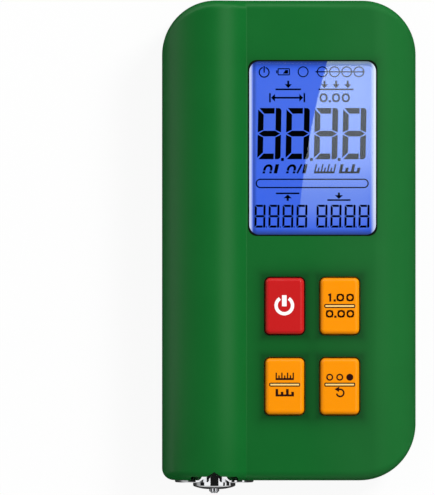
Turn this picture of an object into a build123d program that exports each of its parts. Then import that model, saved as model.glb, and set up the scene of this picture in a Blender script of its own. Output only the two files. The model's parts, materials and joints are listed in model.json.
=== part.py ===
from build123d import *

import os
from functools import lru_cache

# A hand-held coating-thickness gauge in millimetres: a flat-backed case with a round tube down its
# left side, a display and four keys on its face, and a spring-loaded probe at the foot of the tube.
# It lies on its back: X runs across the face, Y towards the top end and Z out of the face.
# The origin is the middle of the flat back. Depths along the tube start at the foot and grow inwards.

# Case
LENGTH = 110.0
WIDTH = 58.3
TUBE_RADIUS = 12.1
TUBE_RISE = 2.5  # the tube's crown above the face
WALL = 2.0
FOOT_WALL = 3.0  # the tube's end wall round the probe
SIDE_ROUND = 1.08  # the right-hand side's radius over its height above or below the seam
SIDE_FLAT = 0.1  # how much the flat along each side takes off the round
TOP_CORNER = 12.4
FOOT_CORNER = 13.0
TUBE_FOOT_CORNER = 2.7
END_ROUND = 2.2
CREASE_ROUND = 0.5  # where the tube runs into the face
LIP_HEIGHT = 1.0
LIP_GAP = 0.08
SEAM_STEP = 0.3
RIB = 1.5
FIT = 0.1  # gap between a piece and its seat

# Display
WINDOW_WIDTH = 29.3
WINDOW_LENGTH = 40.0
WINDOW_X = 5.4
WINDOW_Y = 21.2
WINDOW_CORNER = 1.9
WINDOW_THICK = 1.5
WINDOW_SUNK = 0.15
WINDOW_EDGE = 0.8
TAPE_THICK = 0.15
LEDGE_WIDTH = 0.8
LEDGE_THICK = 1.2
GLASS_MARGIN = 1.0
GLASS_THICK = 2.2
BACKLIGHT_THICK = 2.4
FRAME_WALL = 1.1
STRIP_WIDTH = 1.8
TRAY_FLOOR = 1.1

# Circuit board and what it carries
BOARD_THICK = 1.6
BOARD_EDGE_GAP = 1.5
BOARD_END_GAP = 0.6
BOARD_TUBE_GAP = 0.7
SWITCH_SIDE = 6.0
SWITCH_HEIGHT = 3.7
PLUNGER_RADIUS = 1.7
PLUNGER_RISE = 0.95
CHIP_SIDE = 10.0
CHIP_THICK = 1.4
CHARGER_LENGTH = 5.0
CHARGER_WIDTH = 4.0
BUZZER_RADIUS = 4.5
BUZZER_HEIGHT = 4.0
USB_WIDTH = 8.94
USB_HEIGHT = 3.26
USB_DEPTH = 7.3
USB_WALL = 0.3
USB_X = 8.0
USB_SUNK = 0.4
EAR_SIZE = 1.4
TONGUE_WIDTH = 6.7
TONGUE_THICK = 0.7

# Keys
KEY_WIDTH = 8.9
KEY_LENGTH = 12.9
KEY_GAP = 0.3
KEY_RISE = 1.1
KEY_CORNER = 1.1
KEY_EDGE = 0.95
KEY_WALL = 1.2
KEY_FLANGE = 0.7
FLANGE_THICK = 0.8
KEY_TRAVEL = 0.6
KEY_PITCH_X = 12.6
KEY_PITCH_Y = 18.4
KEYS_X = 5.3
KEYS_Y = -24.2
GUIDE_DEPTH = 1.8

# Screws
CASE_SCREW_RADIUS = 1.3
CASE_SCREW_LENGTH = 12.0
CASE_HEAD_RADIUS = 2.3
CASE_HEAD_THICK = 1.7
POCKET_DEPTH = 4.5
BOSS_RADIUS = 2.7
BOSS_FOOT = 1.3  # how far the face's screw bosses reach behind the seam
BOARD_SCREW_RADIUS = 1.0
BOARD_SCREW_LENGTH = 5.0
BOARD_HEAD_RADIUS = 1.8
BOARD_HEAD_THICK = 1.2
BOARD_BOSS_RADIUS = 2.1
DRIVE_SIZE = 0.5
SCREW_LEFT = -0.9
SCREW_MIDDLE = 9.3
SCREW_RIGHT = 20.15

# Probe, along the tube's axis
COLLAR_RADIUS = 9.05
COLLAR_RIM = 0.55
SHANK_RADIUS = 8.0
TRAP_WIDTH = 1.4  # the flange behind the end wall
HEAD_RADIUS = 4.88
HEAD_GAP = 0.06
HEAD_RISE = 1.5
DOME_HEIGHT = 0.65
TIP_RADIUS = 1.15
TIP_RISE = 0.9
SHOULDER_RADIUS = 6.4
SHOULDER_THICK = 2.4
NECK_END = 7.6
SPRING_RADIUS = 5.2
SPRING_WIRE = 0.3
SPRING_TURNS = 7
SLEEVE_END = 28.0
CAP_THICK = 2.0
COIL_RADIUS = 3.2
COIL_LENGTH = 6.8
BOBBIN_WALL = 0.6
GROOVE_DEPTH = 1.9
GROOVE_WIDTH = 5.9
RELIEF_WIDTH = 10.8
RELIEF_DEPTH = 0.9

# Cell and leads
CELL_RADIUS = 7.05
CELL_LENGTH = 50.0
CELL_GAP = 0.8  # between the cell and the inside of the tube
LEAD_ROOM = 9.4  # between the probe's sleeve and the cell
GUARD_THICK = 1.6
WIRE_RADIUS = 0.65
PROBE_LEAD_RADIUS = 1.1
PLUG_LENGTH = 5.0
PLUG_WIDTH = 5.0
PLUG_HEIGHT = 3.2
SOCKET_WALL = 0.8

# Places that follow from the sizes above
TUBE_X = -WIDTH / 2 - SIDE_FLAT + TUBE_RADIUS
SEAM_Z = TUBE_RADIUS
FACE_Z = 2 * TUBE_RADIUS - TUBE_RISE
FACE_ROUND = SIDE_ROUND * (FACE_Z - SEAM_Z)
BACK_ROUND = SIDE_ROUND * SEAM_Z
INNER_FACE_Z = FACE_Z - WALL
TOP_Y = LENGTH / 2
FOOT_Y = -LENGTH / 2
LEDGE_Z = FACE_Z - WINDOW_SUNK - WINDOW_THICK - TAPE_THICK
GLASS_TOP = LEDGE_Z - LEDGE_THICK - FIT
GLASS_FOOT = GLASS_TOP - GLASS_THICK
BACKLIGHT_FOOT = GLASS_FOOT - BACKLIGHT_THICK
APERTURE_WIDTH = WINDOW_WIDTH - 2 * LEDGE_WIDTH
APERTURE_LENGTH = WINDOW_LENGTH - 2 * LEDGE_WIDTH
GLASS_WIDTH = APERTURE_WIDTH + 2 * GLASS_MARGIN
GLASS_LENGTH = APERTURE_LENGTH + 2 * GLASS_MARGIN
DISPLAY_LEFT = WINDOW_X - GLASS_WIDTH / 2 - FRAME_WALL - FIT
DISPLAY_TOP = WINDOW_Y + GLASS_LENGTH / 2 + FRAME_WALL + FIT
DISPLAY_FOOT = WINDOW_Y - GLASS_LENGTH / 2 - FRAME_WALL - FIT
BOARD_TOP = BACKLIGHT_FOOT - TRAY_FLOOR
BOARD_FOOT = BOARD_TOP - BOARD_THICK
BOARD_LEFT = TUBE_X + SHANK_RADIUS + BOARD_TUBE_GAP
BOARD_RIGHT = WIDTH / 2 - WALL - BOARD_EDGE_GAP
USB_Z = BOARD_TOP - BOARD_THICK / 2
SWITCH_TOP = BOARD_TOP + SWITCH_HEIGHT
PLUNGER_TOP = SWITCH_TOP + PLUNGER_RISE
KEY_TOP = FACE_Z + KEY_RISE
FLANGE_TOP = INNER_FACE_Z - FIT / 2
FLANGE_FOOT = FLANGE_TOP - FLANGE_THICK
BOSS_SEAT = SEAM_Z - BOSS_FOOT
SLEEVE_BORE = SHOULDER_RADIUS + 2 * FIT
COLLAR_TRAP = SHANK_RADIUS + TRAP_WIDTH
CELL_X = TUBE_X - (TUBE_RADIUS - WALL - CELL_GAP - CELL_RADIUS)
CELL_FOOT = FOOT_Y + SLEEVE_END + LEAD_ROOM
CELL_TOP = CELL_FOOT + CELL_LENGTH
KEY_PLACES = {
    "power": (KEYS_X - KEY_PITCH_X / 2, KEYS_Y + KEY_PITCH_Y / 2),
    "calibrate": (KEYS_X + KEY_PITCH_X / 2, KEYS_Y + KEY_PITCH_Y / 2),
    "unit": (KEYS_X - KEY_PITCH_X / 2, KEYS_Y - KEY_PITCH_Y / 2),
    "mode": (KEYS_X + KEY_PITCH_X / 2, KEYS_Y - KEY_PITCH_Y / 2),
}
GUIDE_REACH = KEY_PITCH_Y / 2 + KEY_LENGTH / 2 + KEY_FLANGE + KEY_GAP + RIB
TOP_ROW = (DISPLAY_TOP + TOP_Y - WALL) / 2
MIDDLE_ROW = (DISPLAY_FOOT + KEYS_Y + GUIDE_REACH) / 2
FOOT_ROW = (KEYS_Y - GUIDE_REACH + FOOT_Y + WALL) / 2
CASE_SCREWS = {
    "case_screw_top_left": (SCREW_LEFT, TOP_ROW),
    "case_screw_top_right": (SCREW_RIGHT, TOP_ROW),
    "case_screw_foot_left": (SCREW_LEFT, FOOT_ROW),
    "case_screw_foot_right": (SCREW_RIGHT, FOOT_ROW),
}
BESIDE_PORT = (USB_X + USB_WIDTH / 2 + SCREW_RIGHT - BOSS_RADIUS) / 2
BOARD_SCREWS = {
    "board_screw_left": (BOARD_LEFT + 1.5 * BOARD_BOSS_RADIUS, MIDDLE_ROW),
    "board_screw_right": (SCREW_RIGHT, MIDDLE_ROW),
    "board_screw_foot": (SCREW_MIDDLE, FOOT_ROW),
    "board_screw_top": (BESIDE_PORT, DISPLAY_TOP + BOARD_BOSS_RADIUS + 2 * FIT),
}
PROBE_PLANE = Plane(origin=(TUBE_X, FOOT_Y, SEAM_Z), x_dir=(0, 1, 0), z_dir=(1, 0, 0))
PROBE_AXIS = Axis((TUBE_X, FOOT_Y, SEAM_Z), (0, 1, 0))


def rounded_outline(left, right, low, high, corners):
    """A rectangle whose corners have these radii, from the upper left round to the lower left."""
    sheet = Pos((left + right) / 2, (low + high) / 2) * Rectangle(right - left, high - low)
    places = [(left, high), (right, high), (right, low), (left, low)]
    for place, radius in zip(places, corners):
        if radius > 0:
            sheet = fillet(sheet.vertices().sort_by_distance((*place, 0))[0], radius)
    return sheet


def block(x, y, width, length, low, high, corner=0.0):
    """An upright block centred at x, y, from low to high, with rounded upright edges."""
    sheet = RectangleRounded(width, length, corner) if corner else Rectangle(width, length)
    return Pos(x, y, low) * extrude(sheet, high - low)


def post(x, y, radius, low, high):
    """An upright cylinder from low to high."""
    return Pos(x, y, low) * extrude(Circle(radius), high - low)


def tube_slab(x, start, end, radius):
    """A cylinder along Y from start to end, at the seam's height."""
    return extrude(Plane.XZ.offset(-start) * Pos(x, SEAM_Z) * Circle(radius), start - end)


def turned(*outline):
    """A solid turned about the probe's axis. Each point of the outline is a depth and a radius."""
    return revolve(PROBE_PLANE * make_face(Polyline(*outline, close=True)), PROBE_AXIS)


@lru_cache
def half_form(inset, front):
    """The front or rear half of the case's outer form, drawn in by inset on every side."""
    radius = (FACE_ROUND if front else BACK_ROUND) - inset
    low, high = (FACE_Z - inset - 3 * radius, FACE_Z - inset) if front else (inset, inset + 3 * radius)
    corners = (0, radius, 0, 0) if front else (0, 0, radius, 0)
    section = rounded_outline(TUBE_X, WIDTH / 2 + SIDE_FLAT - inset, low, high, corners)
    section += Pos(TUBE_X, SEAM_Z) * Circle(TUBE_RADIUS - inset)
    side = WIDTH if front else -WIDTH
    section &= Pos(0, SEAM_Z + side) * Rectangle(4 * WIDTH, 2 * WIDTH)
    if front:
        on_face = section.vertices().filter_by(lambda vertex: abs(vertex.Y - high) < FIT / 2)
        section = fillet(on_face.sort_by(Axis.X)[0], CREASE_ROUND)
    corners = [r - inset for r in (TOP_CORNER, TOP_CORNER, FOOT_CORNER, TUBE_FOOT_CORNER)]
    ends = FOOT_Y + inset, TOP_Y - inset
    plan = rounded_outline(inset - WIDTH / 2, WIDTH / 2 - inset, *ends, corners)
    half = extrude(Plane.XZ.offset(-LENGTH) * section, 2 * LENGTH) & extrude(plan, LENGTH, both=True)
    if inset:
        return half
    return fillet(half.edges().filter_by(is_rim), END_ROUND)


def is_rim(edge):
    """True of an edge where the face, the tube or the back meets the case's outer wall."""
    box = edge.bounding_box()
    on_seam = box.size.Z < FIT and abs(box.max.Z - SEAM_Z) < FIT
    upright = max(box.size.X, box.size.Y) < FIT
    across_face = box.size.Y > LENGTH / 2 and abs(box.center().X) < WIDTH / 2 - WALL
    return not (on_seam or upright or across_face)


def slab(low, high):
    """Everything within the case's outline between two heights."""
    return block(0, 0, 2 * WIDTH, 2 * LENGTH, low, high)


def seam_ring(outer, inner, low, high):
    """The band between two insets of the rear half, just behind the seam."""
    return (half_form(outer, False) - half_form(inner, False)) & slab(low, high)


def foot_groove(width, depth):
    """A cutter along Z for a V across the foot of the tube."""
    slope = depth / (width / 2)
    reach = 2 * COLLAR_RIM
    outline = [(0, depth), (width / 2 + reach / slope, -reach), (-width / 2 - reach / slope, -reach)]
    sheet = Pos(TUBE_X, FOOT_Y) * make_face(Polyline(*outline, close=True))
    return extrude(sheet, 2 * TUBE_RADIUS)


def foot_cut():
    """What the foot of the case leaves open: the collar's seat, the V and the relief beside it."""
    inner = FOOT_Y + FOOT_WALL
    hole = tube_slab(TUBE_X, FOOT_Y - FIT, inner + FIT, SHANK_RADIUS + FIT)
    hole += tube_slab(TUBE_X, inner, inner + RIB + 2 * FIT, COLLAR_TRAP + FIT)
    relief = block(TUBE_X, FOOT_Y, RELIEF_WIDTH, 2 * RELIEF_DEPTH, 0, 2 * TUBE_RADIUS, RELIEF_DEPTH / 2)
    return hole + relief + foot_groove(GROOVE_WIDTH + 2 * FIT, GROOVE_DEPTH + FIT)


def usb_cut():
    """The mouth for the charging plug, half in each shell."""
    sheet = Plane.XZ.offset(-TOP_Y - FIT) * Pos(USB_X, USB_Z)
    mouth = SlotOverall(USB_WIDTH + 4 * FIT, USB_HEIGHT + 4 * FIT)
    return extrude(sheet * mouth, WALL + 2 * FIT)


def tube_rib(x, start, radius, front):
    """A rib across the tube, from the outer wall to just past the axis, with a round seat."""
    right = x + 0.7 * SHANK_RADIUS
    left = -WIDTH / 2
    rib = block((left + right) / 2, start + RIB / 2, right - left, RIB, 0, 2 * TUBE_RADIUS)
    return (rib & half_form(WALL / 2, front)) - tube_slab(x, start - FIT, start + RIB + FIT, radius)


def tube_ribs(front):
    """The thick end wall, the seats of the probe's sleeve and of the cell, and their stops."""
    sleeve_stop = FOOT_Y + SLEEVE_END + FIT
    lead_hole = 0.65 * CELL_RADIUS
    end_wall = tube_slab(TUBE_X, FOOT_Y + WALL / 2, FOOT_Y + FOOT_WALL, TUBE_RADIUS)
    ribs = [end_wall & half_form(WALL / 2, front), tube_rib(TUBE_X, sleeve_stop, lead_hole, front)]
    for share in (0.3, 0.8):
        ribs.append(tube_rib(TUBE_X, FOOT_Y + share * SLEEVE_END, SHANK_RADIUS + FIT, front))
        ribs.append(tube_rib(CELL_X, CELL_FOOT + share * CELL_LENGTH, CELL_RADIUS + FIT, front))
    ribs.append(tube_rib(CELL_X, CELL_FOOT - FIT - RIB, lead_hole, front))
    ribs.append(tube_rib(CELL_X, CELL_TOP + GUARD_THICK + FIT, lead_hole, front))
    return Part() + ribs


def window_frame():
    """The frame behind the face that the display's glass sits in, clear of the cell."""
    wide, long = GLASS_WIDTH + 2 * (FIT + FRAME_WALL), GLASS_LENGTH + 2 * (FIT + FRAME_WALL)
    frame = block(WINDOW_X, WINDOW_Y, wide, long, GLASS_FOOT + 5 * FIT, FACE_Z - WALL / 2)
    return frame - cell_room()


def glass_room():
    """The room behind the face for the display's glass and light guide."""
    wide, long = GLASS_WIDTH + 2 * FIT, GLASS_LENGTH + 2 * FIT
    return block(WINDOW_X, WINDOW_Y, wide, long, BACKLIGHT_FOOT, GLASS_TOP + FIT)


def cell_room():
    """The room that the cell and its protection board need."""
    return tube_slab(CELL_X, CELL_FOOT - FIT, CELL_TOP + GUARD_THICK + FIT, CELL_RADIUS + 2 * FIT)


def window_cut():
    """The window's seat in the face and the aperture behind it."""
    seat = block(
        WINDOW_X, WINDOW_Y, WINDOW_WIDTH, WINDOW_LENGTH, LEDGE_Z, 2 * FACE_Z, WINDOW_CORNER
    )
    inner_corner = WINDOW_CORNER - LEDGE_WIDTH
    return seat + block(
        WINDOW_X, WINDOW_Y, APERTURE_WIDTH, APERTURE_LENGTH, GLASS_TOP, FACE_Z, inner_corner
    )


def key_guides():
    """The ribs behind the face that keep the four keys' flanges square."""
    room_x = KEY_WIDTH + 2 * (KEY_FLANGE + KEY_GAP)
    room_y = KEY_LENGTH + 2 * (KEY_FLANGE + KEY_GAP)
    wide = KEY_PITCH_X + room_x + 2 * RIB
    low, high = INNER_FACE_Z - GUIDE_DEPTH, FACE_Z - WALL / 2
    guides = block(KEYS_X, KEYS_Y, wide, 2 * GUIDE_REACH, low, high)
    for x, y in KEY_PLACES.values():
        guides -= block(x, y, room_x, room_y, 0, INNER_FACE_Z)
    return guides


def front_shell():
    """The face half of the case, with its window seat, key guides, bosses and seam lip."""
    shell = half_form(0, True) - half_form(WALL, True)
    inside = half_form(WALL / 2, True) + slab(0, SEAM_Z)
    shell += (window_frame() + key_guides()) & inside
    shell += tube_ribs(True)
    shell += seam_ring(WALL / 2 + LIP_GAP, WALL, SEAM_Z - LIP_HEIGHT, SEAM_Z)
    for x, y in CASE_SCREWS.values():
        shell += post(x, y, BOSS_RADIUS, BOSS_SEAT, FACE_Z) & inside
        shell -= post(x, y, CASE_SCREW_RADIUS + FIT / 4, 0, POCKET_DEPTH + CASE_SCREW_LENGTH + FIT)
    for x, y in BOARD_SCREWS.values():
        shell += post(x, y, BOARD_BOSS_RADIUS, BOARD_TOP, FACE_Z) & inside
        tip = BOARD_FOOT + BOARD_SCREW_LENGTH + FIT
        shell -= post(x, y, BOARD_SCREW_RADIUS + FIT / 4, 0, tip)
    for x, y in KEY_PLACES.values():
        opening = KEY_WIDTH + 2 * KEY_GAP, KEY_LENGTH + 2 * KEY_GAP
        shell -= block(x, y, *opening, INNER_FACE_Z - FIT, 2 * FACE_Z, KEY_CORNER + KEY_GAP)
    return shell - glass_room() - window_cut() - foot_cut() - usb_cut()


def rear_shell():
    """The back half of the case, with its screw pockets, board posts and seam rebate."""
    shell = half_form(0, False) - half_form(WALL, False)
    pillars = [
        post(x, y, BOSS_RADIUS + FRAME_WALL, 0, BOSS_SEAT) for x, y in CASE_SCREWS.values()
    ]
    for x, y in ((BOARD_RIGHT - RIB, WINDOW_Y), (BOARD_RIGHT - RIB, KEYS_Y)):
        pillars.append(post(x, y, RIB, 0, BOARD_FOOT))
    shell += (Part() + pillars) & half_form(WALL / 2, False)
    shell += tube_ribs(False)
    for x, y in CASE_SCREWS.values():
        shell -= post(x, y, CASE_HEAD_RADIUS + 3 * FIT, -FIT, POCKET_DEPTH)
        shell -= post(x, y, CASE_SCREW_RADIUS + FIT, 0, SEAM_Z)
    shell -= seam_ring(WALL / 2, WALL, SEAM_Z - LIP_HEIGHT - FIT, SEAM_Z)
    shell -= seam_ring(0, SEAM_STEP, SEAM_Z - SEAM_STEP, SEAM_Z)
    return shell - foot_cut() - usb_cut()


def display_window():
    """The clear pane, with its outer edge rounded over."""
    low = LEDGE_Z + TAPE_THICK
    wide, long = WINDOW_WIDTH - 2 * FIT, WINDOW_LENGTH - 2 * FIT
    pane = block(WINDOW_X, WINDOW_Y, wide, long, low, low + WINDOW_THICK, WINDOW_CORNER - FIT)
    return fillet(pane.edges().group_by(Axis.Z)[-1], WINDOW_EDGE)


def window_tape():
    """The ring of double-sided tape that holds the pane on its ledge."""
    wide, long = WINDOW_WIDTH - 2 * FIT, WINDOW_LENGTH - 2 * FIT
    ring = block(
        WINDOW_X, WINDOW_Y, wide, long, LEDGE_Z, LEDGE_Z + TAPE_THICK, WINDOW_CORNER - FIT
    )
    inner_corner = WINDOW_CORNER - LEDGE_WIDTH
    return ring - block(
        WINDOW_X, WINDOW_Y, APERTURE_WIDTH, APERTURE_LENGTH, 0, FACE_Z, inner_corner
    )


def display_glass():
    """The liquid-crystal glass."""
    return block(WINDOW_X, WINDOW_Y, GLASS_WIDTH, GLASS_LENGTH, GLASS_FOOT, GLASS_TOP)


def display_backlight():
    """The light guide behind the glass, short enough to leave room for the contact strips."""
    length = GLASS_LENGTH - 2 * (STRIP_WIDTH + 2 * FIT)
    return block(WINDOW_X, WINDOW_Y, GLASS_WIDTH, length, BACKLIGHT_FOOT, GLASS_FOOT)


def strip_place(end):
    """The middle of a contact strip, at the display's top end or its foot."""
    return WINDOW_Y + end * (GLASS_LENGTH - STRIP_WIDTH) / 2


def contact_strip(end):
    """The rubber strip that joins the glass's contacts to the board."""
    width = APERTURE_WIDTH
    return block(WINDOW_X, strip_place(end), width, STRIP_WIDTH, BOARD_TOP, GLASS_FOOT)


def display_frame():
    """The tray that holds the glass, light guide and strips on the board, clear of its neighbours."""
    wide, long = GLASS_WIDTH + 2 * (FIT + FRAME_WALL), GLASS_LENGTH + 2 * (FIT + FRAME_WALL)
    tray = block(WINDOW_X, WINDOW_Y, wide, long, BOARD_TOP, GLASS_FOOT + 3 * FIT)
    tray -= glass_room() + cell_room() + port_room()
    for x, y in CASE_SCREWS.values():
        tray -= post(x, y, BOSS_RADIUS + FIT, 0, FACE_Z)
    for x, y in BOARD_SCREWS.values():
        tray -= post(x, y, BOARD_BOSS_RADIUS + FIT, 0, FACE_Z)
    for end in (-1, 1):
        slot = APERTURE_WIDTH + 2 * FIT, STRIP_WIDTH + 2 * FIT
        tray -= block(WINDOW_X, strip_place(end), *slot, 0, FACE_Z)
    return tray


def port_room():
    """The room for the charging port, from the top end to just behind it."""
    width, length = USB_WIDTH + 4 * FIT, USB_DEPTH + USB_SUNK + FIT
    low, high = USB_Z - USB_HEIGHT / 2 - 2 * FIT, USB_Z + USB_HEIGHT / 2 + 2 * FIT
    return block(USB_X, TOP_Y - length / 2, width, length, low, high)


def boss_notch(x, y):
    """A corner of the board cut away round a case screw's boss."""
    radius = BOSS_RADIUS + 3 * FIT
    left, right = (x - radius, WIDTH) if x > WINDOW_X else (-WIDTH, x + radius)
    low, high = (y, LENGTH) if y > 0 else (-LENGTH, y)
    corner = extrude(rounded_outline(left, right, low, high, (0, 0, 0, 0)), FACE_Z)
    return corner + post(x, y, radius, 0, FACE_Z)


def main_board():
    """The circuit board, cut away round the charging port and bosses and holed for its screws."""
    top, foot = TOP_Y - WALL - BOARD_END_GAP, FOOT_Y + WALL + BOARD_END_GAP
    edge = WALL + BOARD_EDGE_GAP
    corners = (1, TOP_CORNER - edge, FOOT_CORNER - edge, 1)
    outline = rounded_outline(BOARD_LEFT, BOARD_RIGHT, foot, top, corners)
    wing_low = WINDOW_Y - GLASS_LENGTH / 2
    wing_high = plug_place("battery")[1] + PLUG_WIDTH / 2 + SOCKET_WALL + 3 * FIT
    outline += rounded_outline(DISPLAY_LEFT, WINDOW_X, wing_low, wing_high, (1, 0, 0, 1))
    board = Pos(0, 0, BOARD_FOOT) * extrude(outline, BOARD_THICK)
    board -= port_room() + cell_room()
    for x, y in CASE_SCREWS.values():
        board -= boss_notch(x, y)
    for x, y in BOARD_SCREWS.values():
        board -= post(x, y, BOARD_SCREW_RADIUS + FIT, 0, FACE_Z)
    return board


def key(name):
    """A key cap, hollow from behind, with a retaining flange and a post onto its switch."""
    x, y = KEY_PLACES[name]
    cap = block(x, y, KEY_WIDTH, KEY_LENGTH, FLANGE_FOOT, KEY_TOP, KEY_CORNER)
    cap = fillet(cap.edges().group_by(Axis.Z)[-1], KEY_EDGE)
    wide, long = KEY_WIDTH + 2 * KEY_FLANGE, KEY_LENGTH + 2 * KEY_FLANGE
    cap += block(x, y, wide, long, FLANGE_FOOT, FLANGE_TOP, KEY_CORNER)
    roof = KEY_TOP - KEY_WALL
    cap -= block(x, y, KEY_WIDTH - 2 * KEY_WALL, KEY_LENGTH - 2 * KEY_WALL, 0, roof)
    return cap + post(x, y, PLUNGER_RADIUS, PLUNGER_TOP, roof + FIT)


def key_switch(name):
    """The click switch under a key, with the bore that its plunger slides in."""
    x, y = KEY_PLACES[name]
    body = block(x, y, SWITCH_SIDE, SWITCH_SIDE, BOARD_TOP, SWITCH_TOP)
    body = chamfer(body.edges().group_by(Axis.Z)[-1], 2 * FIT)
    floor = SWITCH_TOP - 2 * KEY_TRAVEL - 4 * FIT
    return body - post(x, y, PLUNGER_RADIUS + FIT, floor, FACE_Z)


def key_plunger(name):
    """The switch's plunger, which travels with the key."""
    x, y = KEY_PLACES[name]
    return post(x, y, PLUNGER_RADIUS, SWITCH_TOP - KEY_TRAVEL - FIT, PLUNGER_TOP)


def probe_collar():
    """The bright collar that the two shells trap: an outer rim, a V across it and a guide bore."""
    bore = HEAD_RADIUS + HEAD_GAP
    back = FOOT_WALL + FIT
    edge = COLLAR_RIM / 3
    collar = turned(
        (-COLLAR_RIM, bore),
        (-COLLAR_RIM, COLLAR_RADIUS - edge),
        (edge - COLLAR_RIM, COLLAR_RADIUS),
        (0, COLLAR_RADIUS),
        (0, SHANK_RADIUS),
        (back, SHANK_RADIUS),
        (back, COLLAR_TRAP),
        (back + RIB, COLLAR_TRAP),
        (back + RIB, SHOULDER_RADIUS),
        (NECK_END, SHOULDER_RADIUS),
        (NECK_END, bore),
    )
    return collar - foot_groove(GROOVE_WIDTH, GROOVE_DEPTH)


def probe_sleeve():
    """The tube behind the collar that the probe's shoulder and spring run in."""
    start = FOOT_WALL + 2 * FIT + RIB
    return turned(
        (start, SLEEVE_BORE), (start, SHANK_RADIUS), (SLEEVE_END, SHANK_RADIUS), (SLEEVE_END, SLEEVE_BORE)
    )


def shoulder_end():
    """The depth of the rear of the probe head's shoulder, where the spring pushes."""
    return NECK_END + FIT + SHOULDER_THICK


def probe_head():
    """The turned head that slides in the collar: a domed nose, a stop shoulder and a coil cup."""
    nose = -HEAD_RISE
    crown = nose - DOME_HEIGHT
    cup = COIL_RADIUS + 2 * FIT
    edge = 2 * FIT
    dome = ThreePointArc(
        (crown, TIP_RADIUS + FIT), (crown + DOME_HEIGHT / 4, HEAD_RADIUS * 0.6), (nose, HEAD_RADIUS - edge)
    )
    back = shoulder_end()
    walls = Polyline(
        (nose, HEAD_RADIUS - edge),
        (nose + edge, HEAD_RADIUS),
        (NECK_END + FIT, HEAD_RADIUS),
        (NECK_END + FIT, SHOULDER_RADIUS),
        (back, SHOULDER_RADIUS),
        (back, cup + 4 * FIT),
        (back + RIB, cup + 4 * FIT),
        (back + RIB, cup),
        (0, cup),
        (0, TIP_RADIUS + FIT / 4),
        (crown, TIP_RADIUS + FIT / 4),
        (crown, TIP_RADIUS + FIT),
    )
    return revolve(PROBE_PLANE * make_face(dome.edges() + walls.edges()), PROBE_AXIS)


def probe_tip():
    """The hardened pin that touches the work, which is also the coil's core."""
    end = -HEAD_RISE - DOME_HEIGHT - TIP_RISE
    edge = TIP_RADIUS / 3
    arc = RadiusArc((end, TIP_RADIUS - edge), (end + edge, TIP_RADIUS), -edge)
    walls = Polyline(
        (end + edge, TIP_RADIUS),
        (COIL_LENGTH + 2 * RIB, TIP_RADIUS),
        (COIL_LENGTH + 2 * RIB, 0),
        (end, 0),
        (end, TIP_RADIUS - edge),
    )
    return revolve(PROBE_PLANE * make_face(arc.edges() + walls.edges()), PROBE_AXIS)


def coil_bobbin():
    """The spool round the core, with a flange at each end."""
    bore, core, rim = TIP_RADIUS + FIT / 2, TIP_RADIUS + BOBBIN_WALL, COIL_RADIUS + FIT
    start, end = FIT, FIT + COIL_LENGTH + 2 * BOBBIN_WALL
    return turned(
        (start, bore),
        (start, rim),
        (start + BOBBIN_WALL, rim),
        (start + BOBBIN_WALL, core),
        (end - BOBBIN_WALL, core),
        (end - BOBBIN_WALL, rim),
        (end, rim),
        (end, bore),
    )


def sensing_coil():
    """The copper winding between the bobbin's flanges."""
    core = TIP_RADIUS + BOBBIN_WALL
    start = FIT + BOBBIN_WALL
    return turned(
        (start, core), (start, COIL_RADIUS), (start + COIL_LENGTH, COIL_RADIUS), (start + COIL_LENGTH, core)
    )


def spring_room():
    """The depths between which the spring works."""
    return shoulder_end(), SLEEVE_END - CAP_THICK


def probe_spring():
    """The compression spring that pushes the head out against the collar's neck."""
    start, end = spring_room()
    height = end - start - 2 * SPRING_WIRE - FIT
    foot = (TUBE_X, FOOT_Y + start + SPRING_WIRE + FIT / 2, SEAM_Z)
    path = Helix(height / SPRING_TURNS, height, SPRING_RADIUS, center=foot, direction=(0, 1, 0))
    section = Plane(origin=path @ 0, z_dir=path % 0) * Circle(SPRING_WIRE)
    return sweep(section, path, is_frenet=True)


def sleeve_cap():
    """The plug in the sleeve's rear end, with a boss for the spring and a hole for the lead."""
    hole = PROBE_LEAD_RADIUS + FIT
    boss = SPRING_RADIUS - SPRING_WIRE - 4 * FIT
    front = SLEEVE_END - CAP_THICK
    return turned(
        (front - RIB, hole),
        (front - RIB, boss),
        (front, boss),
        (front, SLEEVE_BORE - FIT / 4),
        (SLEEVE_END, SLEEVE_BORE - FIT / 4),
        (SLEEVE_END, hole),
    )


def wire(points, radius):
    """A wire along points, with as large an arc at each bend as its runs allow."""
    places = [Vector(p) for p in points]
    runs = [b - a for a, b in zip(places, places[1:])]
    radii = []
    for before, after in zip(runs, runs[1:]):
        half_turn = before.get_angle(after) / 2
        room = 0.45 * min(before.length, after.length)
        radii.append(room / tan_degrees(half_turn))
    path = FilletPolyline(*points, radius=radii)
    section = Plane(origin=path @ 0, z_dir=path % 0) * Circle(radius)
    return sweep(section, path)


def tan_degrees(angle):
    """The tangent of an angle in degrees."""
    turn = Vector(1, 0).rotate(Axis.Z, angle)
    return turn.Y / turn.X


def plug_place(name):
    """Where a lead's plug goes in: the mouth's x and y, on the rear of the board."""
    side = BOARD_LEFT - FIT
    if name == "probe":
        return side, FOOT_Y + SLEEVE_END + 2.3 * PLUG_WIDTH / 2
    return DISPLAY_LEFT, CELL_TOP + 1.05 * PLUG_WIDTH


def plug_height():
    """The height of the middle of a plug, behind the board."""
    return BOARD_FOOT - SOCKET_WALL - FIT - PLUG_HEIGHT / 2


def lead_plug(name):
    """The plug on the end of a lead."""
    x, y = plug_place(name)
    middle = plug_height()
    low, high = middle - PLUG_HEIGHT / 2, middle + PLUG_HEIGHT / 2
    return block(x + PLUG_LENGTH / 2, y, PLUG_LENGTH, PLUG_WIDTH, low, high, 2 * FIT)


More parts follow.
